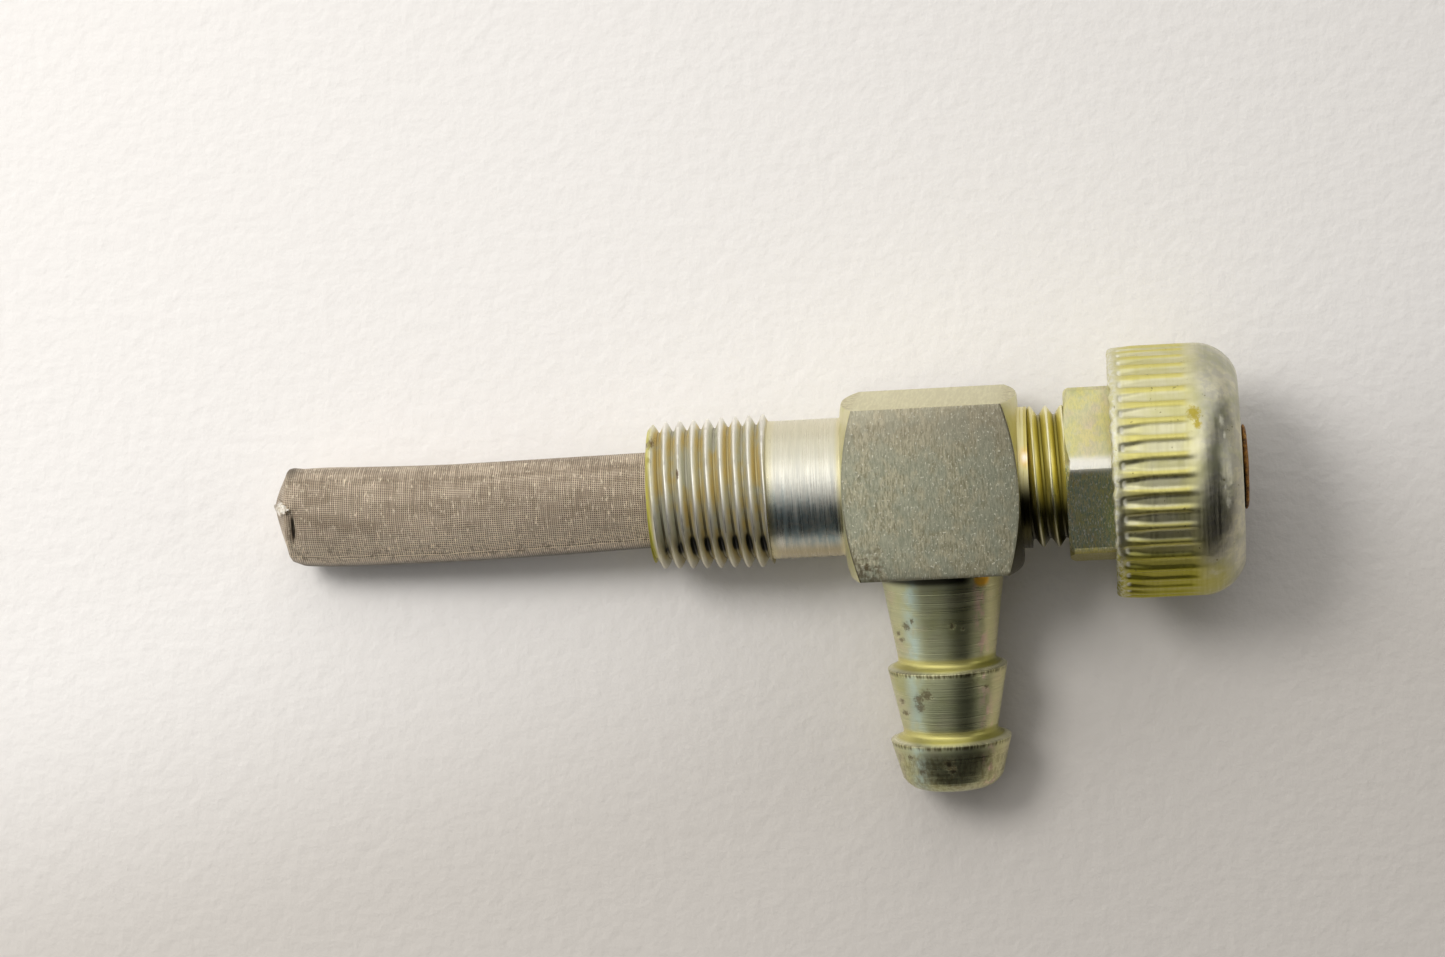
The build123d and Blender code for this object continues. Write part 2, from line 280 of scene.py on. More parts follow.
# %% A finish and the place on the tap that it paints
class Finish:
    """A material whose patterns know where they are on the tap."""

    def __init__(self, name, place=tap_place):
        self.material = bpy.data.materials.new(name)
        self.material.use_nodes = True
        self.tree = self.material.node_tree
        self.tree.nodes.clear()
        location, rotation, scale = place.decompose()
        here = node(self.tree, "ShaderNodeTexCoord", out="Object")
        self.point = node(
            self.tree, "ShaderNodeMapping", {"vector_type": "TEXTURE"},
            {"Vector": here, "Location": location, "Rotation": rotation.to_euler(), "Scale": scale},
        )
        self.x, self.y, self.z = (
            node(self.tree, "ShaderNodeSeparateXYZ", None, {0: self.point}, out=i) for i in range(3)
        )
        self.radius = self.math("SQRT", self.y * self.y + self.z * self.z)
        self.angle = self.math("ARCTAN2", self.y, self.z)

    def math(self, operation, *terms):
        return self.x.math(operation, *terms)

    def noise(self, x=1.0, y=1.0, z=1.0, detail=3.0, rough=0.55, around=False):
        """Soft noise whose grain is this many cells to the millimetre along each axis.

        With around, y counts along the turned surface and z away from the bore.
        """
        if around:
            # the direction from the bore, which has no seam, in place of the angle
            axes = (self.x * x, self.y / self.radius * y, self.z / self.radius * y)
        else:
            axes = (self.x * x, self.y * y, self.z * z)
        vector = self.x.node("ShaderNodeCombineXYZ", None, dict(enumerate(axes)))
        return self.x.node(
            "ShaderNodeTexNoise", None,
            {"Vector": vector, "Scale": 1.0, "Detail": detail, "Roughness": rough},
        )

    def blots(self, *places, ragged=0.9, stretch=1.0):
        """Marks at (x, y, reach) on the side that faces up: 1 inside and 0 outside.

        ragged is how far noise pushes their edges about, as a share of the reach.
        """
        crumbs, marks = self.noise(5, 5, 5, detail=5, rough=0.8) - 0.5, 0.0
        for x, y, reach in places:
            across, along = self.x - x, (self.y - y) / stretch
            distance = self.math("SQRT", across * across + along * along) + crumbs * (2 * ragged * reach)
            marks = distance.fade(reach * 0.2, reach * 1.1, 1, 0) + marks
        return marks * self.z.fade(0, 0.5)

    def painted(self, colour, metallic, roughness, relief=None, depth=0.02):
        """Close the network with a Principled shader; relief is a height, depth its size in mm."""
        values = {"Base Color": colour, "Metallic": metallic, "Roughness": roughness}
        if relief is not None:
            values["Normal"] = self.x.node(
                "ShaderNodeBump", None, {"Height": relief, "Strength": 1.0, "Distance": depth * MM}
            )
        shader = self.x.node("ShaderNodeBsdfPrincipled", None, values)
        end = self.tree.nodes.new("ShaderNodeOutputMaterial")
        self.tree.links.new(shader.socket, end.inputs["Surface"])
        return self.material


# %% [markdown]
# Zinc plating under a yellow passivate is a metal whose thin skin tints it: pale straw where
# the skin is thin, green and olive where it is thicker, with a breath of pink here and there.
# One helper gives that drifting tint, and each finish moves it about the colour it needs.

# %% The passivate's drifting tint
STRAW, OLIVE, PINK = (0.73, 0.69, 0.41), (0.56, 0.54, 0.14), (0.78, 0.62, 0.46)
RUST, BLACK = (0.13, 0.065, 0.025), (0.02, 0.018, 0.012)


def passivate(finish, base, olive=0.4, pink=0.25):
    """Base colour with slow patches of olive and faint ones of pink."""
    drift = finish.noise(0.5, 0.6, 0.6, detail=2)
    blush = finish.noise(0.9, 0.5, 0.7, detail=1)
    tint = mixed(drift.fade(0.45, 0.75, 0, olive), base, OLIVE)
    return mixed(blush.fade(0.52, 0.7, 0, pink), tint, PINK)


# %% [markdown]
# The body is one piece of steel: a length of square bar, turned at both ends. Its flats keep
# the dull skin of the drawn bar, with a fine grain that runs across the tap, while all that
# the lathe has cut is brighter. So one mesh gets several finishes.

# %% Finishes of the body
def crown_depth(reach, slope=BAR_SLOPE, land=LAND, corner=BAR_CORNER):
    """How far a turned end has dropped back at some reach from the bore."""
    sphere = (land + corner) / 2 / math.sin(math.radians(slope))
    return math.sqrt(sphere**2 - land**2) - (sphere**2 - reach**2) ** 0.5


flat = Finish("bar_skin")
grain = flat.noise(8, 1.8, 1.8, detail=3, rough=0.75)
mottle = flat.noise(0.9, 0.6, 0.6, detail=3)
glint = flat.noise(9, 4, 4, detail=1).fade(0.60, 0.72)
dirt = flat.noise(2.6, 2.6, 2.6, detail=4).fade(0.44, 0.60)
dirty_corner = flat.x.near(-4.4, 1.9) * flat.y.near(-4.9, 2.0) * dirt
from_end = BODY_END - crown_depth(flat.radius) - flat.math("ABSOLUTE", flat.x)
end_burr = from_end.fade(0.04, 0.18, 1, 0) * (flat.y * flat.x).fade(-6, 18, 0.35, 1)
# Painted shade: the flats darken along their edge on the barb's side, and the flat facing the barb darkens all
# over.
painted_low_edge_shade = flat.y.fade(-FACE + 0.30, -FACE + 0.04) * 0.7
skin = layered(
    mixed(grain.fade(0.32, 0.68), (0.36, 0.34, 0.22), (0.74, 0.70, 0.50)),
    (mottle.fade(0.42, 0.60, 0, 0.5), (0.46, 0.50, 0.39)),
    (flat.y.fade(1.0, 5.5, 0, 0.45), (0.56, 0.485, 0.36)),
    (glint * 0.7, (1.0, 0.98, 0.82)),
    (dirty_corner * 0.85, (0.13, 0.09, 0.04)),
    # A dark burr where the flats meet the turned ends, together with the painted shade along the barb's side.
    ((end_burr + painted_low_edge_shade) * grain.fade(0.3, 0.6, 0.4, 0.9), (0.10, 0.08, 0.04)),
)
bar_skin = flat.painted(skin, 0.80, grain.fade(0.3, 0.7, 0.60, 0.44), grain + glint, depth=0.014)

side = Finish("bar_side")
strokes = side.noise(7, 2.0, 0.5, detail=3, rough=0.6)
dark_end = side.math("ABSOLUTE", side.x).fade(4.6, 5.3, 0, 0.5) * side.noise(3, 3, 3).fade(0.4, 0.6)
side_skin = layered(
    mixed(strokes.fade(0.35, 0.7), (0.60, 0.555, 0.34), (0.72, 0.68, 0.46)),
    (dark_end, (0.30, 0.24, 0.10)),
)
bar_side = side.painted(side_skin, 0.55, strokes.fade(0.3, 0.7, 0.45, 0.60), strokes, depth=0.006)

ends = Finish("turned_end")
cuts = ends.noise(10, 10, 10, detail=2)
turned = passivate(ends, STRAW, 0.5, 0.1)
# Painted shade: the end towards the knob goes near black on the barb's side.
turned = mixed(ends.x.fade(0, 1) * ends.y.fade(0.3, -3.2, 0, 0.95), turned, (0.05, 0.042, 0.012))
turned_end = ends.painted(turned, 0.9, cuts.fade(0.3, 0.7, 0.34, 0.44), cuts, depth=0.004)

stem = Finish("bright_spigot")
lines = stem.noise(14, 0.8, 0.8, detail=3, rough=0.7, around=True)
streaks = stem.noise(3.5, 1.1, 1.1, detail=3, rough=0.6, around=True)
cloud = stem.noise(1.8, 1.8, 1.8, detail=4, rough=0.7)
yellowing = stem.x.near(-BODY_END, 0.6) + stem.x.near(SPIGOT_END, 0.9) * 0.7
# Painted reflection: a dark bluish band on the barb's side of the middle, with ragged slanting edges.
painted_reflection_band = (stem.y + streaks * 5 + stem.x * 0.25 - 4.4 - 0.25 * SPIGOT_END).near(-3.2, 2.6)
silver = layered(
    mixed(lines.fade(0.3, 0.7), (0.66, 0.65, 0.57), (0.93, 0.92, 0.83)),
    (streaks.fade(0.48, 0.68, 0, 0.4), (0.60, 0.62, 0.60)),
    # Painted reflection: yellower away from the barb, the dark bluish band, and browner at the edge by the barb.
    (stem.y.fade(0.8, 4.2, 0, 0.7), (0.74, 0.69, 0.49)),
    (painted_reflection_band * cloud.fade(0.30, 0.60, 0.25, 0.75), (0.34, 0.50, 0.55)),
    (stem.y.fade(-2.9, -4.0, 0, 0.9), (0.46, 0.38, 0.21)),
    (yellowing.fade(0, 1, 0, 0.8), (0.78, 0.71, 0.42)),
)
bright_spigot = stem.painted(
    silver, 0.94, (lines + streaks).fade(0.7, 1.3, 0.22, 0.44), lines + streaks + cloud, depth=0.016
)

# %% [markdown]
# Thick passivate gathers in the grooves of a thread, and its crests are rubbed paler. Painted
# shade darkens the floors of the grooves, and painted highlights run along the crests. The height
# above the groove's floor tells them apart, and on the tank's thread the crests themselves climb
# with the taper.

# %% Finishes of the two threads
TANK_PITCH, TANK_DEPTH, TANK_TAPER = 0.941, 0.68, 1 / 32
NECK_PITCH, NECK_DEPTH = 1.058, 0.60
TANK_CREST = 5.05
tank_middle = (THREAD_END + SPIGOT_END) / 2

tank = Finish("tank_thread")
taper_here = (tank.x - tank_middle) * TANK_TAPER
tank_height = (tank.radius - taper_here - (TANK_CREST - TANK_DEPTH)) / TANK_DEPTH
wander = tank.noise(0.8, 0.9, 0.9, detail=3)
lines = tank.noise(9, 1.2, 1.2, detail=3, around=True)
patina = tank.noise(0.8, 0.8, 0.8, detail=3, around=True)
# Painted shade: a dark line along the floor of each groove, faint away from the barb and strongest on its side.
painted_groove_shade = tank_height.fade(0.12, 0.02) * tank.y.fade(1.5, -2.5, 0.45, 0.92)
# Painted highlight: a white line along the crests, broken up by noise.
painted_crest_highlight = tank_height.fade(0.84, 0.94) * wander.fade(0.35, 0.5)
# Black in the grooves along the thread's edge on the barb's side, heavier towards the spigot.
low_groove_black = tank_height.fade(0.60, 0.10) * (tank.y - patina * 2).near(-4.2, 1.1) * tank.z.fade(0, 0.5)
low_groove_black = low_groove_black * (tank.x + wander * 6).fade(-15.5, -13.0, 0.35, 1)
old_rust = tank.blots((-16.75, 2.0, 0.13), stretch=3.4, ragged=0.6)
old_rust = old_rust + tank.blots((-18.75, 3.9, 0.5), (-18.8, 2.9, 0.3))
thread_colour = layered(
    mixed((wander + patina * 2).fade(1.35, 1.75), (0.66, 0.65, 0.52), (0.72, 0.60, 0.29)),
    (tank_height.fade(0.40, 0.80), (0.82, 0.80, 0.72)),
    (painted_groove_shade, (0.09, 0.07, 0.03)),
    (painted_crest_highlight, (1.0, 0.98, 0.90)),
    # Painted shade: darker and browner on the barb's side.
    (tank.y.fade(-1.6, -3.4, 0, 0.55), (0.40, 0.35, 0.18)),
    (low_groove_black.fade(0.1, 0.6), BLACK),
    (old_rust.fade(0, 1, 0, 0.9), RUST),
    (tank.x.near(THREAD_END, 0.65) * wander.fade(0.3, 0.45) * 0.9, (0.66, 0.62, 0.10)),
)
thread_metal = tank_height.fade(0.2, 0.9, 0.60, 0.95)
thread_rough = lines.fade(0.3, 0.7, 0.30, 0.46) + tank_height.fade(0.75, 0.15, 0, 0.10)
tank_thread = tank.painted(thread_colour, thread_metal, thread_rough, lines, depth=0.012)

neck = Finish("neck_thread")
neck_height = (neck.radius - (NECK_RADIUS - NECK_DEPTH)) / NECK_DEPTH
lines = neck.noise(9, 1.2, 1.2, detail=3, around=True)
turning = neck.noise(5, 0.5, 0.5, detail=2, around=True)
in_shade = neck.y.fade(-0.6, -2.2, 0, 0.95) * neck_height.fade(1.1, 0.5, 0.45, 1) * neck.z.fade(-1, 0)
gold = layered(
    mixed(neck_height.fade(0.25, 0.9), (0.60, 0.52, 0.12), (0.88, 0.81, 0.33)),
    # Painted shade in the floors of the grooves, then painted highlights: a white line along the crests and a
    # broad pale band on them away from the barb.
    (neck_height.fade(0.28, 0.05, 0, 0.75), (0.18, 0.15, 0.02)),
    (neck_height.fade(0.84, 0.94, 0, 0.7), (1.0, 0.96, 0.72)),
    (neck_height.fade(0.35, 0.9) * neck.y.near(2.0, 1.7) * 0.75, (1.0, 0.95, 0.70)),
    (neck.x.fade(7.1, 6.6) * turning.fade(0.45, 0.60, 0.45, 0.95), (0.62, 0.53, 0.14)),
    # Painted highlight: an orange glint with a white core on the plain neck by the body.
    (neck.x.near(6.3, 0.55) * neck.y.near(1.9, 0.9) * 0.8, (0.98, 0.60, 0.16)),
    (neck.x.near(6.3, 0.35) * neck.y.near(1.9, 0.5) * 0.9, (1.0, 0.97, 0.86)),
    (in_shade, (0.045, 0.04, 0.01)),
    # Painted shade: the plain neck by the body goes near black on the barb's side.
    (neck.y.fade(1.2, -1.2, 0, 0.95) * neck.x.fade(7.0, 6.5), (0.04, 0.035, 0.01)),
)
neck_metal, neck_rough = neck_height.fade(0.2, 0.9, 0.8, 1.0), lines.fade(0.3, 0.7, 0.26, 0.42)
neck_thread = neck.painted(gold, neck_metal, neck_rough, lines + turning, depth=0.012)

# %% [markdown]
# To shape the body, its whole outline is spun with the bores in it, and the bar's four flats
# are then planed off with bisect_plane. What the plane cuts away leaves a hole with a rim,
# which edgeloop_fill closes. The ends are turned to a shallow crown, which is why each flat
# has rounded corners.

# %% Planing flats on a spun piece
def crown(end, inward, slope, land, corner, count=8):
    """Outline of an end that was turned to a shallow crown, from its land out to the corner."""
    radii = [land + (corner - land) * i / count for i in range(count + 1)]
    return [(end + inward * crown_depth(radius, slope, land, corner), radius) for radius in radii]


def planed(bm, distance, angles):
    """Cut flats at a distance from the bore; an angle of 0 faces up and 90 away from the barb."""
    for angle in angles:
        facing = Vector((0, math.sin(math.radians(angle)), math.cos(math.radians(angle))))
        cut = bmesh.ops.bisect_plane(
            bm, geom=bm.verts[:] + bm.edges[:] + bm.faces[:], dist=1e-5,
            plane_co=facing * distance, plane_no=facing, clear_outer=True,
        )
        rim = [part for part in cut["geom_cut"] if isinstance(part, bmesh.types.BMEdge)]
        bmesh.ops.edgeloop_fill(bm, edges=rim)
    bmesh.ops.recalc_face_normals(bm, faces=bm.faces)
    return bm


# %% [markdown]
# The outlet's cross hole can't be part of the outline, so a Boolean modifier takes a plain
# cylinder from the mesh, and the result replaces it.

# %% Drilling a hole with a Boolean
def drilled(bm, cutter):
    """The mesh less the cutter, both as bmeshes."""
    pair = []
    for name, shape in (("work", bm), ("drill", cutter)):
        mesh = bpy.data.meshes.new(name)
        shape.to_mesh(mesh)
        shape.free()
        pair.append(bpy.data.objects.new(name, mesh))
        bpy.context.scene.collection.objects.link(pair[-1])
    work, drill = pair
    hole = work.modifiers.new("hole", "BOOLEAN")
    hole.operation, hole.solver, hole.object = "DIFFERENCE", "EXACT", drill
    result = bmesh.new()
    result.from_object(work, bpy.context.evaluated_depsgraph_get())
    for thing in pair:
        mesh = thing.data
        bpy.data.objects.remove(thing)
        bpy.data.meshes.remove(mesh)
    return result


OUTLET = Matrix.Translation((0.3, 0, 0)) @ Matrix.Rotation(math.radians(-90), 4, "Z")

# %% The bar with its stems and bores
SKIN, TURNED, SPIGOT, TANK, NECK, SIDE = range(6)
core = spun(
    [
        (THREAD_END + 0.02, 3.6), (THREAD_END + 0.02, 4.1), (SPIGOT_END - 0.1, 4.1),
        (SPIGOT_END - 0.1, SPIGOT_RADIUS), (-BODY_END, SPIGOT_RADIUS),
        *crown(-BODY_END, 1, BAR_SLOPE, LAND, BAR_CORNER),
        *reversed(crown(BODY_END, -1, BAR_SLOPE, LAND, BAR_CORNER)),
        (BODY_END, NECK_RADIUS), (6.5, NECK_RADIUS), (6.5, 4.05), (NECK_END - 0.02, 4.05),
        (NECK_END - 0.02, 3.65), (PACKING_FLOOR, 3.65), (PACKING_FLOOR, 3.225), (CHAMBER_END, 3.225),
        (CHAMBER_END, 2.7), (SEAT, 2.7), (SEAT, 1.3), (-6.975, 1.3), (-6.975, 3.6),
    ],
    ring=True,
)
planed(core, FACE, (0, 90, 180, 270))
tail_hole = spun([(0, 0), (0, 1.8), (3.5, 1.8), (3.5, 3.12), (8, 3.12), (8, 0)], steps=48)
# turned a little, so that no corner of it meets an edge of the bore
tail_hole.transform(OUTLET @ Matrix.Rotation(math.radians(2), 4, "X"))
core = drilled(core, tail_hole)
soften(core, 0.06, where=lambda edge: all(
    abs(v.co.x) < BODY_END - 0.01 and max(abs(v.co.y), abs(v.co.z)) > FACE - 1e-3 for v in edge.verts
))
for face in core.faces:
    middle = face.calc_center_median()
    reach = math.hypot(middle.y, middle.z)
    flat_side = max(abs(middle.y), abs(middle.z)) > FACE - 1e-3 and abs(face.normal.x) < 0.02
    face.material_index = (
        (SIDE if middle.y > FACE - 1e-3 else SKIN) if flat_side
        else SPIGOT if middle.x < -BODY_END + 0.01 and abs(reach - SPIGOT_RADIUS) < 0.02
        else NECK if BODY_END < middle.x < 7 and reach > 4.6 else TURNED
    )
print("bar", len(core.faces), "faces")

# %% [markdown]
# A thread is a screw: one tooth of its outline, spun for many turns while it moves along by
# one pitch a turn, which is what dvec does. Neighbouring turns share their edges once doubles
# are merged. Then the two ends are cut square, each rim is drawn in to a hidden inner radius,
# and the two inner rims are bridged, so that the thread becomes a closed sleeve.

# %% Screw threads as closed sleeves
def open_edges(parts):
    """The edges among some parts of a mesh that have a face on one side only."""
    return [part for part in parts if isinstance(part, bmesh.types.BMEdge) and part.is_boundary]


def thread(first, last, pitch, crest, depth, inner, taper=0.0, chamfer=0.0, steps=48):
    """A right-handed thread between two places along the bore, closed to a sleeve at radius inner."""
    turns = math.ceil((last - first) / pitch) + 2
    bm = bmesh.new()
    tooth = [
        (0, 0), (0.06, 0), (0.22, 0.42), (0.42, 0.93), (0.47, 1),
        (0.53, 1), (0.58, 0.93), (0.78, 0.42), (0.94, 0), (1, 0),
    ]
    floor = crest - depth
    points = [bm.verts.new((first + (x - 1) * pitch, 0, floor + depth * rise)) for x, rise in tooth]
    edges = [bm.edges.new(pair) for pair in zip(points, points[1:])]
    bmesh.ops.spin(
        bm, geom=points + edges, cent=(0, 0, 0), axis=(1, 0, 0), dvec=(pitch / steps, 0, 0),
        angle=math.tau * turns, steps=steps * turns, use_merge=False, use_duplicate=False,
    )
    bmesh.ops.remove_doubles(bm, verts=bm.verts, dist=1e-3)
    for point in bm.verts:
        x, reach = point.co.x, math.hypot(point.co.y, point.co.z)
        new = reach + taper * (x - (first + last) / 2)
        to_radius(point, min(new, crest - chamfer + (x - first) * 0.8) if chamfer else new)
    inner_rims = []
    for place, facing in ((first, -1), (last, 1)):
        cut = bmesh.ops.bisect_plane(
            bm, geom=bm.verts[:] + bm.edges[:] + bm.faces[:], dist=1e-4,
            plane_co=(place, 0, 0), plane_no=(facing, 0, 0), clear_outer=True,
        )
        drawn = bmesh.ops.extrude_edge_only(bm, edges=open_edges(cut["geom_cut"]))["geom"]
        for point in (part for part in drawn if isinstance(part, bmesh.types.BMVert)):
            to_radius(point, inner)
        inner_rims += open_edges(drawn)
    bmesh.ops.bridge_loops(bm, edges=inner_rims)
    return outward(bm, 1e-5)


tank_sleeve = thread(
    THREAD_END, SPIGOT_END, TANK_PITCH, TANK_CREST, TANK_DEPTH, 4.0, TANK_TAPER, chamfer=0.45
)
neck_sleeve = thread(6.45, NECK_END, NECK_PITCH, NECK_RADIUS, NECK_DEPTH, 3.95)
for sleeve, finish in ((tank_sleeve, TANK), (neck_sleeve, NECK)):
    for face in sleeve.faces:
        face.material_index = finish
finished(
    joined(core, tank_sleeve, neck_sleeve), "tap_body_dressed", "body", ["tap_body"],
    [bar_skin, turned_end, bright_spigot, tank_thread, neck_thread, bar_side],
)

# %% [markdown]
# The outlet barb is turned on its own and pressed into the body, so it has its own axes. Two
# rings with sharp backs grip the hose. The lathe left fine lines round it, the plating is
# yellow-green, and dark pits have come through.

# %% Finish of the barb
RINGS = (FACE + 6.75, FACE + 11.65)
barb = Finish("barb_plating", tap_place @ OUTLET)


def round_rings(offset, reach):
    """1 on a band round each hose ring, at an offset along the barb from its sharp edge."""
    return sum(barb.x.near(ring + offset, reach) for ring in RINGS)


lines = barb.noise(13, 0.3, 0.3, detail=3, rough=0.65, around=True)
chatter = barb.noise(0.8, 22, 22, detail=2, around=True)
patch = barb.noise(0.9, 0.9, 0.9, detail=4)
blush = barb.noise(0.9, 1.5, 1.5, detail=2)
shoulders = round_rings(-0.40, 0.75)
lips = round_rings(0.13, 0.26)
ring_colour = mixed(barb.y.fade(0.8, 2.8), (0.67, 0.61, 0.20), (0.40, 0.38, 0.07))
# Painted shadow: black where the barb goes in under the body's edge.
painted_crevice_shadow = barb.x.fade(FACE + 0.95, FACE + 0.45, 0, 0.92) * barb.y.fade(2.1, 1.5)
glow_spot = barb.x.near(6.2, 0.9) * barb.y.near(2.7, 0.8)
grime = barb.noise(1.6, 4, 4, detail=4, rough=0.7).fade(0.40, 0.62)
low_end = barb.x.fade(FACE + 12.0, FACE + 12.6) * grime
pits = barb.blots(
    (9.3, -2.5, 0.36), (9.25, 0.6, 0.28), (8.9, -2.1, 0.2), (9.5, 1.3, 0.15), (13.9, -1.35, 0.5),
    (14.2, -1.9, 0.4), (14.8, -1.85, 0.42), (18.6, -0.1, 0.5), (19.1, 0.1, 0.36), (19.2, -1.9, 0.3),
    (10.3, -2.9, 0.25), (15.3, -2.9, 0.3), (13.6, 2.6, 0.16), (14.5, -3.1, 0.25), (9.9, -3.1, 0.22),
    (18.2, -2.7, 0.25), ragged=1.6,
)
specks = barb.noise(5, 3, 3, detail=2).fade(0.70, 0.78)
colour = layered(
    passivate(barb, (0.70, 0.69, 0.40), 0.55, 0.35),
    (lines.fade(0.35, 0.7, 0, 0.4), (0.45, 0.48, 0.30)),
    # Painted reflection: darker grey-green along the top, and yellower on the knob's side.
    (barb.z.fade(1.6, 3.0, 0, 0.45), (0.42, 0.46, 0.30)),
    (barb.y.fade(0.5, 3.2, 0, 0.4), (0.62, 0.54, 0.24)),
    (barb.y.near(-2.1, 0.9) * patch.fade(0.35, 0.60, 0.1, 0.75), (0.56, 0.70, 0.64)),
    (barb.y.near(2.5, 0.6) * blush.fade(0.45, 0.60, 0, 0.7), (0.86, 0.58, 0.50)),
    # Painted reflection: a dark grey-green patch along the top between the two rings.
    (barb.x.near(FACE + 9.0, 2.6) * barb.z.fade(1.8, 3.2) * 0.45, (0.27, 0.30, 0.17)),
    (shoulders.fade(0, 0.7, 0, 0.9), ring_colour),
    (round_rings(-0.05, 0.16), (0.90, 0.87, 0.60)),
    (lips * chatter.fade(0.38, 0.60, 0, 0.85), (0.12, 0.10, 0.04)),
    (painted_crevice_shadow, BLACK),
    (glow_spot.fade(0.1, 0.6, 0, 0.9), (0.95, 0.50, 0.03)),
    (low_end * 0.55, (0.24, 0.20, 0.08)),
    ((pits + specks * 0.6).fade(0, 1.1, 0, 0.75), (0.15, 0.11, 0.055)),
)
relief = lines - pits * 0.8 - lips * 0.6
barb_metal, barb_rough = shoulders.fade(0, 1, 0.97, 0.70), lines.fade(0.3, 0.7, 0.26, 0.40)
barb_plating = barb.painted(colour, barb_metal, barb_rough, relief, depth=0.012)

# %% The barb's outline, spun and softened
hose_barb_mesh = spun(
    [
        (FACE - 2.2, 1.8), (FACE - 2.2, 3.1), (FACE, 3.1), (FACE, 4.225),
        (FACE + 6.1, 3.3), (FACE + 6.3, 3.31), (FACE + 6.45, 3.42), (FACE + 6.62, 3.68),
        (RINGS[0], 4.05), (FACE + 11.0, 3.2), (FACE + 11.2, 3.21), (FACE + 11.35, 3.34),
        (FACE + 11.52, 3.66), (RINGS[1], 4.1), (FACE + 14.25, 3.4), (FACE + 14.6, 3.14),
        (FACE + 14.88, 2.8), (FACE + 15.0, 2.5), (FACE + 15.0, 1.8),
    ],
    ring=True,
)
soften(hose_barb_mesh, 0.06, where=lambda edge: edge.verts[0].co.x > FACE + 1)
hose_barb_mesh.transform(OUTLET)
finished(hose_barb_mesh, "outlet_barb_dressed", "body", ["outlet_barb"], [barb_plating])

# %% [markdown]
# The strainer is fine wire gauze, rolled to a tube with a lap and folded shut. At this size
# the wires are a pattern, not a mesh: rows of light wires with dark holes between them, as
# colour and as relief. Round the tube they run along it and about it, and on the folded end
# they run straight across. The tube itself isn't quite round, because fingers rolled it.

# %% Finish of the gauze
WIRE, CREVICE = 0.143, -43.15
gauze = Finish("wire_gauze")
around = gauze.angle * GAUZE_RADIUS
slack = gauze.noise(0.35, 0.5, 0.5, detail=2) * 0.25


def woven(one_way, other_way):
    """Two crossing rows of wires: 1 on top of a wire and 0 in a hole; every second wire lies lower."""
    rows = []
    for along in (one_way, other_way):
        place = (along + slack) * (math.tau / WIRE)
        row = gauze.math("COSINE", place) * 0.5 + 0.53
        rows.append(row + gauze.math("COSINE", place * 0.5) * 0.04)
    return gauze.math("MAXIMUM", *rows)


on_end = gauze.x.fade(GAUZE_CORNER, GAUZE_CORNER - 0.2)
cloth = woven(gauze.x, around) * (1 - on_end) + woven(gauze.y, gauze.z) * on_end
shade = gauze.noise(0.25, 1.2, 1.2, detail=3)
threads = gauze.noise(5, 0.3, 0.3, detail=3, rough=0.7)
sparkle = gauze.noise(9, 2.4, 2.4, detail=2).fade(0.58, 0.72)
frayed = gauze.noise(3, 1.5, 1.5, detail=4, rough=0.75).fade(0.50, 0.66)
# Painted shade: near black in the crevice of the fold.
painted_crease_shade = gauze.x.near(CREVICE, 0.20) * gauze.y.near(-0.55, 1.3) * gauze.z.fade(1, 2)
wire_colour = layered(
    mixed((shade + threads).fade(0.75, 1.25), (0.38, 0.30, 0.215), (0.72, 0.595, 0.45)),
    (gauze.y.fade(-0.6, -2.4, 0, 0.75), (0.95, 0.81, 0.62)),
    (gauze.y.near(0.2, 2.2) * 0.35, (0.36, 0.29, 0.21)),
)
gauze_colour = layered(
    mixed(cloth.fade(0.35, 0.95), (0.08, 0.058, 0.035), wire_colour),
    (sparkle * gauze.y.fade(-0.5, -2.2, 0.6, 0.9), (1.0, 0.88, 0.68)),
    (frayed * gauze.y.fade(-1.0, -2.6, 0.15, 0.65), (0.16, 0.12, 0.075)),
    # Painted shade: dark along the tube's edge on the barb's side, down by the floor.
    (gauze.z.fade(2.1, 1.0) * gauze.y.fade(-2, -3, 0, 0.85), (0.07, 0.055, 0.035)),
    (gauze.x.near(-43.4, 0.9) * gauze.y.near(3.1, 0.9) * 0.8, (0.12, 0.10, 0.07)),
    (painted_crease_shade.fade(0.05, 0.6, 0, 0.9), (0.02, 0.016, 0.01)),
)
wire_gauze = gauze.painted(gauze_colour, 0.35, cloth.fade(0.3, 0.9, 0.6, 0.45), cloth, depth=0.032)

# %% The tube, its lap and its folded end
LAP_EDGE, LAP_WIDTH, LAP_STEP = 48, 34, 0.12
WALL = 0.25
places = [
    GAUZE_POINT, -44.72, -44.6, -44.4, -44.2, -44.0, -43.85,
    -43.72, -43.62, -43.5, -43.36, -43.2, -43.0, -42.7,
]
places += [-42.2 + 0.8 * i for i in range(29)] + [GAUZE_MOUTH]


def end_radius(x):
    """The tube's radius: full beyond the corner, and drawn in to the point before it."""
    share = min(1, (x - GAUZE_POINT) / (GAUZE_CORNER - GAUZE_POINT))
    return 0.35 + (GAUZE_RADIUS - 0.35) * share**0.85


outer = [(x, end_radius(x)) for x in places]
inner = [(x + 0.2, max(0.15, end_radius(x) - WALL)) for x in places[:8]]
inner += [(GAUZE_MOUTH, GAUZE_RADIUS - WALL)]
tube = spun([(GAUZE_POINT, 0), *outer, *reversed(inner), (GAUZE_POINT + 0.2, 0)], steps=120)


def bump(value, place, reach):
    """1 at a place and 0 further than reach from it, with straight flanks."""
    return max(0, 1 - abs(value - place) / reach)


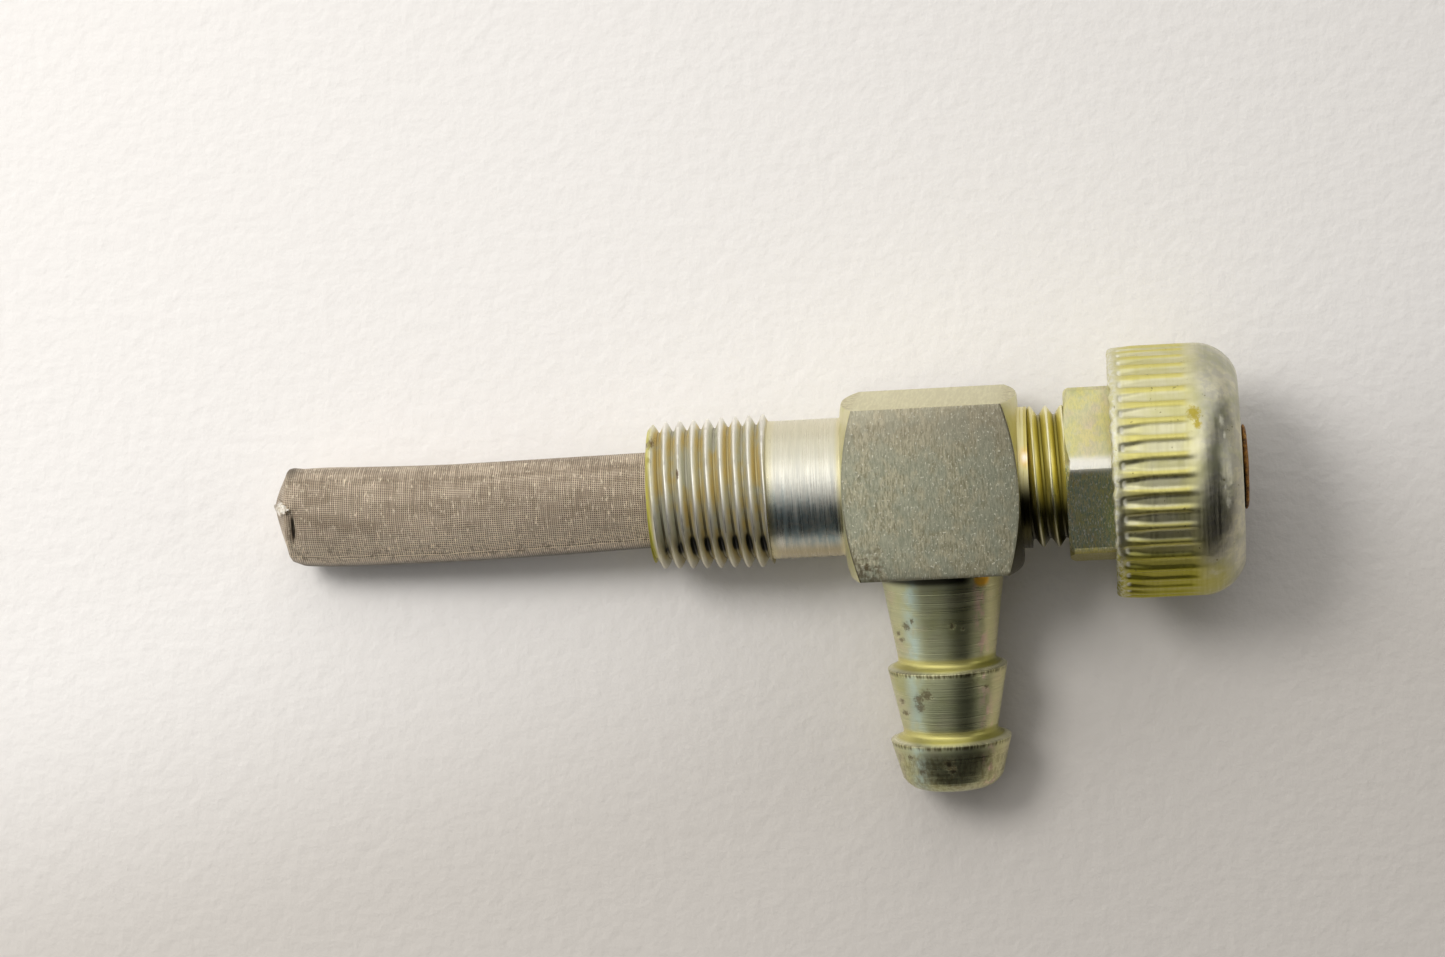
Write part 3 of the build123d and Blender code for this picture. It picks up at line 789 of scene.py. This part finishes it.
for point in tube.verts:
    x, reach = point.co.x, math.hypot(point.co.y, point.co.z)
    angle = math.degrees(math.atan2(point.co.y, point.co.z))
    if x > THREAD_END or reach < 0.05:
        continue
    along = (THREAD_END - x) / (THREAD_END - GAUZE_CORNER)
    beyond_corner = max(0, (GAUZE_CORNER - x) / (GAUZE_CORNER - GAUZE_POINT))
    # rolled by hand, it is lumpy and a little three-sided, and narrower at both ends
    lump = noise.noise(Vector((x * 0.12, point.co.y * 0.35, point.co.z * 0.35))) * 0.10
    flattened = -0.06 * math.cos(math.radians(3 * (angle - 10)))
    change = min(1, (THREAD_END - x) / 8) * (lump + flattened) * min(1, reach / 2)
    change -= 0.12 * min(1, max(0, (-41 - x) / 2.6)) + 0.16 * max(0, 1 - along)
    if x > GAUZE_CORNER - 0.1 and -LAP_EDGE - LAP_WIDTH < angle < -LAP_EDGE:
        change += LAP_STEP
    # the fold rounds one corner, bulges at the other and leaves a crevice between them
    change -= 0.45 * max(0, (-42.9 - x) / 0.8) * bump(angle, -95, 60) * min(1, reach / 2)
    change += 0.20 * bump(x, -43.3, 0.6) * bump(angle, 75, 35)
    change -= 0.6 * bump(x, CREVICE, 0.22) * bump(angle, -10, 28)
    if reach + change > 0.05:
        to_radius(point, reach + change)
    # it sags towards the barb, and its point leans the other way
    point.co.y += 0.70 * beyond_corner - 0.2 - 0.25 * math.sin(math.pi * min(1, along))
bmesh.ops.recalc_face_normals(tube, faces=tube.faces)
finished(tube, "strainer_gauze_dressed", "body", ["strainer_gauze"], [wire_gauze], crisp=60)

# %% [markdown]
# A small bead of solder holds the fold. It is a squashed ball with a few lumps, bright enough
# to catch the light, painted pale on top and brown down its sides as highlight and shade.

# %% The solder bead
bead_finish = Finish("bright_solder")
ripple = bead_finish.noise(4, 4, 4, detail=2)
bead_colour = layered(
    # Painted highlight and shade: pale on top, darkening to brown down the sides.
    mixed(bead_finish.z.fade(2.9, 2.0), (0.95, 0.91, 0.82), (0.42, 0.36, 0.28)),
    (ripple.fade(0.50, 0.62, 0, 0.75), (0.46, 0.36, 0.20)),
)
bright_solder = bead_finish.painted(
    bead_colour, 1.0, ripple.fade(0.3, 0.7, 0.08, 0.30), ripple, depth=0.12
)
bead = bmesh.new()
bmesh.ops.create_icosphere(bead, subdivisions=4, radius=0.5)
for point in bead.verts:
    point.co += point.normal * 0.16 * noise.noise(point.co * 3.1)
bmesh.ops.scale(bead, vec=(0.80, 0.85, 2.7), verts=bead.verts)
lean = Matrix.Rotation(math.radians(22), 3, "Y")
bmesh.ops.rotate(bead, cent=(0, 0, 0), matrix=lean, verts=bead.verts)
bmesh.ops.translate(bead, vec=(-43.98, 0.70, 2.15), verts=bead.verts)
finished(bead, "tip_solder_dressed", "body", ["tip_solder"], [bright_solder])

# %% [markdown]
# The gland nut squeezes the packing round the spindle. It is a hexagon whose open end was
# chamfered on the lathe, so its flats end in shallow arcs there, and the knob hides the rest.
# Spanners have rubbed the corners, so they are turned down a little, and the corner between
# the two faces in view gets a painted highlight.

# %% Finish and shape of the gland nut
NUT_FLAT, NUT_CORNER, NUT_TURN = 5.55, 6.24, 13.5
hexagon = Finish("nut_plating")
grain = hexagon.noise(8, 2.2, 2.2, detail=4, rough=0.75)
patch = hexagon.noise(0.9, 0.7, 0.7, detail=3)
glint = hexagon.noise(9, 4, 4, detail=1).fade(0.58, 0.68)
below = hexagon.y.fade(1.5, 1.3)
# Painted highlight: a pale strip along the turned-down corner between the two faces in view.
painted_corner_highlight = hexagon.radius.fade(NUT_CORNER - 0.25, NUT_CORNER - 0.02) * hexagon.y.near(1.46, 1.2)
colour = layered(
    passivate(hexagon, (0.74, 0.71, 0.41), 0.45, 0.45),
    (hexagon.x.near(10.6, 1.3) * hexagon.y.near(3.2, 2.2) * 0.6, (0.80, 0.66, 0.50)),
    (patch.fade(0.47, 0.60, 0, 0.5), (0.80, 0.73, 0.24)),
    (grain.fade(0.42, 0.60) * (below * 0.65 + 0.18), (0.27, 0.38, 0.31)),
    (hexagon.x.fade(11.0, 12.2) * hexagon.y.near(-2.2, 1.8) * 0.5, (0.52, 0.62, 0.16)),
    (glint * below * 0.8, (1.0, 0.98, 0.86)),
    (painted_corner_highlight * 0.9, (1.0, 0.98, 0.91)),
    # Painted shade: dark olive on the strip nearest the barb.
    (hexagon.y.fade(-4.1, -4.8, 0, 0.9), (0.33, 0.28, 0.04)),
)
nut_metal = hexagon.y.near(1.3, 0.4) * -0.5 + 0.92
nut_plating = hexagon.painted(colour, nut_metal, grain.fade(0.3, 0.7, 0.36, 0.50), grain, depth=0.020)
nut = spun(
    [
        (NUT_START, 4.8), *crown(NUT_START, 1, 25, NUT_FLAT, NUT_CORNER), (NUT_END, NUT_CORNER),
        (NUT_END, 2.6), (NUT_FLOOR, 2.6), (NUT_FLOOR, 4.8),
    ],
    ring=True,
)
planed(nut, NUT_FLAT, [NUT_TURN + 30 + 60 * side for side in range(6)])
finished(nut, "gland_nut_dressed", "body", ["gland_nut"], [nut_plating], crisp=20)

# %% [markdown]
# The knob is pressed from sheet steel, like a bottle cap: a domed end, a straight side with
# 44 flutes for the fingers and a raw rim. It is spun with 14 steps to each flute, and then
# the points of the side are pushed in. A flute is a scoop that plunges in just behind the rim
# and gets shallower towards the dome. Taking the scoop's depth less a curve that rises
# sideways gives it a rounded end, as a ball-nosed tool would.

# %% Finish of the knob
cap = Finish("knob_plating")
dome = cap.x.fade(17.1, 18.5)
worn = cap.noise(0.5, 0.5, 0.5, detail=3)
tarnish = cap.noise(1.3, 1.3, 1.3, detail=5, rough=0.7)
crumbled = cap.noise(2.6, 2.6, 2.6, detail=4, rough=0.7)
scratches = cap.noise(6, 1.6, 1.6, detail=3, around=True)
flyspecks = cap.noise(2.2, 2.2, 2.2, detail=2).fade(0.70, 0.76)
ridges = cap.radius.fade(8.34, 8.43, 0, 0.85) * cap.x.fade(17.3, 16.7)
# Painted highlight: pale at the plunging end of each flute.
painted_flute_end_highlight = cap.x.near(12.70, 0.36) * cap.radius.fade(8.36, 8.27)
# Painted shade on the dome's barb side, broken up by noise.
painted_low_dome_shade = cap.y.fade(-4.2, -6.8) * cap.x.fade(20.4, 18.6) * worn.fade(0.35, 0.6, 0.25, 0.85)
# Painted highlights: small pale glints on the dome.
painted_dome_glints = cap.blots(
    (19.25, 4.0, 0.24), (19.4, 3.1, 0.14), (19.45, -1.25, 0.26), (19.3, -0.2, 0.12),
    ragged=0.7, stretch=2.2,
)
bright = (painted_flute_end_highlight * 0.8 + painted_dome_glints * 0.6).fade(0, 1)
stain = cap.blots((17.5, 4.6, 0.6), (17.7, 3.9, 0.36))
ragged_rim = cap.x.near(KNOB_START, 0.85)
side_colour = layered(
    mixed(worn.fade(0.35, 0.7), (0.77, 0.74, 0.49), (0.70, 0.67, 0.34)),
    (ridges, (0.74, 0.67, 0.20)),
)
dome_colour = layered(
    mixed(worn.fade(0.4, 0.65), (0.70, 0.67, 0.50), (0.48, 0.48, 0.32)),
    (tarnish.fade(0.43, 0.58, 0, 0.55), (0.50, 0.49, 0.43)),
)
colour = layered(
    mixed(dome, side_colour, dome_colour),
    # Painted shade: dark olive on the barb's side of the fluted side and of the dome.
    (cap.y.fade(-2.0, -6.5, 0, 0.95) * cap.x.fade(18.6, 17.0), (0.46, 0.43, 0.02)),
    (painted_low_dome_shade, (0.48, 0.44, 0.08)),
    (bright, (0.94, 0.92, 0.76)),
    (stain.fade(0, 1, 0, 0.85), (0.46, 0.36, 0.02)),
    (ragged_rim * crumbled.fade(0.40, 0.60) * 0.9, (0.88, 0.87, 0.78)),
    (flyspecks * 0.6, (0.20, 0.17, 0.06)),
)
sheen = scratches.fade(0.3, 0.75, 0.40, 0.54) - dome * 0.08
dents = cap.noise(0.35, 0.3, 0.3, detail=1)
dings = cap.noise(0.9, 0.9, 0.9, detail=2) * dome * 0.7
relief = dents + dings + scratches * 0.12 + crumbled * ragged_rim * 0.9
knob_plating = cap.painted(colour, 1 - bright * 0.6, sheen, relief, depth=0.08)

# %% The knob's shell and its flutes
FLUTES, STEPS_A_FLUTE = 44, 14
KNOB_EDGE = (KNOB_END - 3, 5.45)
side = [(12.4 + 0.13 * i, 8.36 + 0.09 * min(1, i / 10)) for i in range(41)]
shell = spun(
    [
        (12.22, 7.5), (12.08, 7.61), (KNOB_START, 7.85), (12.05, 8.1), (12.14, 8.25), (12.26, 8.33),
        *side, *arc(KNOB_EDGE, 3.0, 88, 20, 14),
        (KNOB_END - 0.17, 5.95), (KNOB_END - 0.15, 5.2), (KNOB_END - 0.13, 4.2), (KNOB_END - 0.12, 3.1),
        (KNOB_END - 0.12, 2.25), (KNOB_END - 0.95, 2.25), *arc(KNOB_EDGE, 2.05, 0, 90, 8), (15, 7.5),
    ],
    steps=STEPS_A_FLUTE * FLUTES, ring=True,
)


def ease(value, low, high):
    """0 below low, 1 above high and smooth between them."""
    share = min(1, max(0, (value - low) / (high - low)))
    return share * share * (3 - 2 * share)


def flute(x, sideways):
    """Depth of a flute at a place along the knob, and sideways as a share of the pitch."""
    depth = 0.19 * ease(x, 12.45, 12.90) - 0.07 * ease(x, 13.1, 14.6) - 0.12 * ease(x, 16.6, 17.9)
    floor = 0.06 + 0.12 * ease(x, 12.7, 14.8)
    return depth * (1 - ease(sideways, floor, floor + 0.30))


for point in shell.verts:
    x, reach = point.co.x, math.hypot(point.co.y, point.co.z)
    angle = math.atan2(point.co.y, point.co.z)
    if reach > 8.2 and 12.2 < x < 18.2:
        depth = flute(x, abs((angle * FLUTES / math.tau + 0.25) % 1 - 0.5))
        to_radius(point, reach - depth)
    if x < 12.45:
        point.co.x += 0.10 * noise.noise(Vector((0, point.co.y, point.co.z)) * 1.6)
        point.co.x += 0.035 * math.cos(angle * FLUTES)
finished(shell, "knob_dressed", "spindle", ["knob"], [knob_plating], crisp=70)

# %% [markdown]
# The spindle goes through the whole of the neck, but only its end shows, hammered over the
# knob like a rivet's head. Bare steel there has rusted to orange-brown.

# %% Finish and shape of the spindle
bare = Finish("rusty_spindle")
scale = bare.noise(2.2, 2.2, 2.2, detail=5, rough=0.7)
flecks = bare.noise(5, 5, 5, detail=3)
in_shade = bare.x.fade(KNOB_END + 0.12, KNOB_END + 0.02, 0, 0.95) * bare.y.fade(1.5, -0.5)
rusty = layered(
    mixed(scale.fade(0.35, 0.65), (0.12, 0.05, 0.008), (0.50, 0.22, 0.03)),
    (flecks.fade(0.55, 0.72, 0, 0.6), (0.72, 0.42, 0.08)),
    (in_shade, BLACK),
)
outside = bare.x.fade(20.2, 20.6)
colour = mixed(outside, (0.45, 0.44, 0.40), rusty)
rusty_spindle = bare.painted(
    colour, 1 - outside * 0.75, outside * 0.4 + 0.35, scale + flecks * 0.4, depth=0.10
)
spindle = spun(
    [
        (0.365, 0), (0.365, 0.8), (-1.135, 0.8), (-1.135, 1.9), (3.265, 1.9), (3.265, 2.5), (4.255, 2.5),
        (4.255, 3.175), (9.455, 3.175), (9.455, 2.5), (19.775, 2.5), (19.775, 2.2), (20.71, 2.2),
        (20.725, 2.7), (20.79, 2.83), (20.88, 2.82), (20.97, 2.68), (21.03, 2.35), (21.06, 1.8),
        (21.04, 1.2), (21.02, 0.6), (21.02, 0),
    ],
    steps=72,
)
for point in spindle.verts:
    if point.co.x > 20.8:
        point.co.x += 0.04 * noise.noise(point.co * 0.9)
finished(
    spindle, "valve_spindle_dressed", "spindle", ["valve_spindle"], [rusty_spindle]
)

# %% [markdown]
# Four pieces stay out of sight: the valve's soft tip, the packing, its washer and the ring
# inside the gauze. Their solids already have the right shape, so they keep it and only get
# their finishes.

# %% Finishes of the hidden pieces
def inner_finish(name, light, dark, metallic, low, high):
    """A plain finish that runs from light and smooth to dark and rough."""
    finish = Finish(name)
    grain = finish.noise(3, 3, 3, detail=4)
    colour = mixed(grain.fade(0.3, 0.7), light, dark)
    return finish.painted(colour, metallic, grain.fade(0.3, 0.7, low, high), grain, 0.01)


brass = inner_finish("plain_brass", (0.78, 0.62, 0.30), (0.62, 0.46, 0.20), 1.0, 0.25, 0.45)
rubber = inner_finish("black_rubber", (0.035, 0.035, 0.035), (0.06, 0.058, 0.055), 0.0, 0.6, 0.85)
nylon = inner_finish("cream_nylon", (0.78, 0.74, 0.64), (0.68, 0.63, 0.52), 0.0, 0.35, 0.5)
hidden = {"valve_tip": nylon, "gland_packing": rubber, "gland_washer": brass, "strainer_ferrule": brass}
for name, finish in hidden.items():
    solid = frame["nodes"][name]
    solid.data.materials.clear()
    solid.data.materials.append(finish)
    print(name, "keeps its solid")

# %% [markdown]
# The tap lies on a pale board, painted darker towards the front and the right as shading from
# the lamp. The floor is one plane with a faint tooth, and it isn't part of the tap.

# %% The floor
floor_mesh = bpy.data.meshes.new("floor")
board = bmesh.new()
bmesh.ops.create_grid(board, x_segments=1, y_segments=1, size=0.8)
board.to_mesh(floor_mesh)
board.free()
floor = bpy.data.objects.new("floor", floor_mesh)
bpy.context.scene.collection.objects.link(floor)
paper = Finish("pale_board", Matrix.Scale(MM, 4))
tooth = paper.noise(0.9, 0.9, 0.9, detail=4)
cloudy = paper.noise(0.03, 0.03, 0.03, detail=2)
pale = mixed(cloudy, (0.88, 0.855, 0.83), (0.85, 0.825, 0.80))
# Painted shading: the board darkens towards the front and the right, as the lamp's light falls off.
pale = mixed((paper.x * 0.20 - paper.y).fade(-8, 17), pale, (0.63, 0.595, 0.555))
floor_mesh.materials.append(paper.painted(pale, 0.0, 0.6, tooth, depth=0.10))
floor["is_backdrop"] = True

# %% [markdown]
# Light makes metal: what a plated part shows is mostly the room. This one has a pale wall, on
# the side away from the barb and towards the strainer. A soft glow hangs high above, a small
# patch of light stands far off beyond the knob, and it is dim where a person would stand. So
# every round part gets a broad highlight above its middle and a dark band below. The lamp is
# for the floor: it gives the tap its shadow, and the metal doesn't show it.

# %% The room and the lamp
world = bpy.data.worlds.new("room")
bpy.context.scene.world = world
world.use_nodes = True
room = world.node_tree
room.nodes.clear()
direction = node(room, "ShaderNodeTexCoord", out="Generated")
towards = [direction.node("ShaderNodeSeparateXYZ", None, {0: direction}, out=i) for i in range(3)]


def cone(way, wide, narrow):
    """1 within a narrow cone about a direction and 0 outside a wide one; half angles in degrees."""
    facing = sum(part * share for part, share in zip(towards, Vector(way).normalized()))
    return facing.fade(math.cos(math.radians(wide)), math.cos(math.radians(narrow)))


wall = (towards[0] * -0.57 + towards[1] * 0.81 - towards[2] * 0.10).fade(-0.125, 0.357)
glow = cone((-0.30, 0.13, 0.95), 46, 0)
far_corner = cone((0.92, 0.03, 0.39), 22, 0)
level = wall * 0.94 + glow * 0.66 + far_corner * 1.1
light = mixed(level * 0.5, (0, 0, 0), (2.0, 1.97, 1.92))
background = node(room, "ShaderNodeBackground", None, {"Color": light, "Strength": 1.0})
room_end = room.nodes.new("ShaderNodeOutputWorld")
room.links.new(background.socket, room_end.inputs["Surface"])

lamp = bpy.data.lights.new("lamp", "AREA")
lamp.shape, lamp.size, lamp.spread = "DISK", 0.13, math.radians(75)
lamp.energy, lamp.color = 0.115, (1.0, 0.985, 0.965)
hung = bpy.data.objects.new("lamp", lamp)
hung.location = (-0.16, 0.10, 0.28)
lit_spot = Vector((-0.07, 0.03, 0))
hung.rotation_euler = (hung.location - lit_spot).to_track_quat("Z", "Y").to_euler()
hung.visible_glossy = False
bpy.context.scene.collection.objects.link(hung)

# %% [markdown]
# The picture is taken from almost straight above, from far enough away that the tap keeps
# its proportions. The camera's place and lens come from matching the corners of the square
# body, the rings of the barb and the rim of the knob.

# %% The camera
camera = bpy.data.cameras.new("camera")
camera.lens, camera.sensor_width, camera.sensor_fit = 104.941, 36, "HORIZONTAL"
camera.clip_start, camera.clip_end = 0.01, 5
stand = bpy.data.objects.new("camera", camera)
stand.location = (-0.0021084, -0.0109189, 0.290)
stand.rotation_euler = [math.radians(turn) for turn in (3.63600, 0.20530, -2.54632)]
bpy.context.scene.collection.objects.link(stand)
bpy.context.scene.camera = stand
bpy.context.scene.view_settings.view_transform = "Standard"

# %% [markdown]
# Last, the size of the dressed tap is kept beside that of its solids, so that the two can be
# compared.

# %% Sizes and the end
bpy.context.view_layer.update()
dressed_box = [list(corner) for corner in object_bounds()]
grown = [round((b - a) / MM, 3) for pair in zip(solid_box, dressed_box) for a, b in zip(*pair)]
print("grown by", grown, "mm")
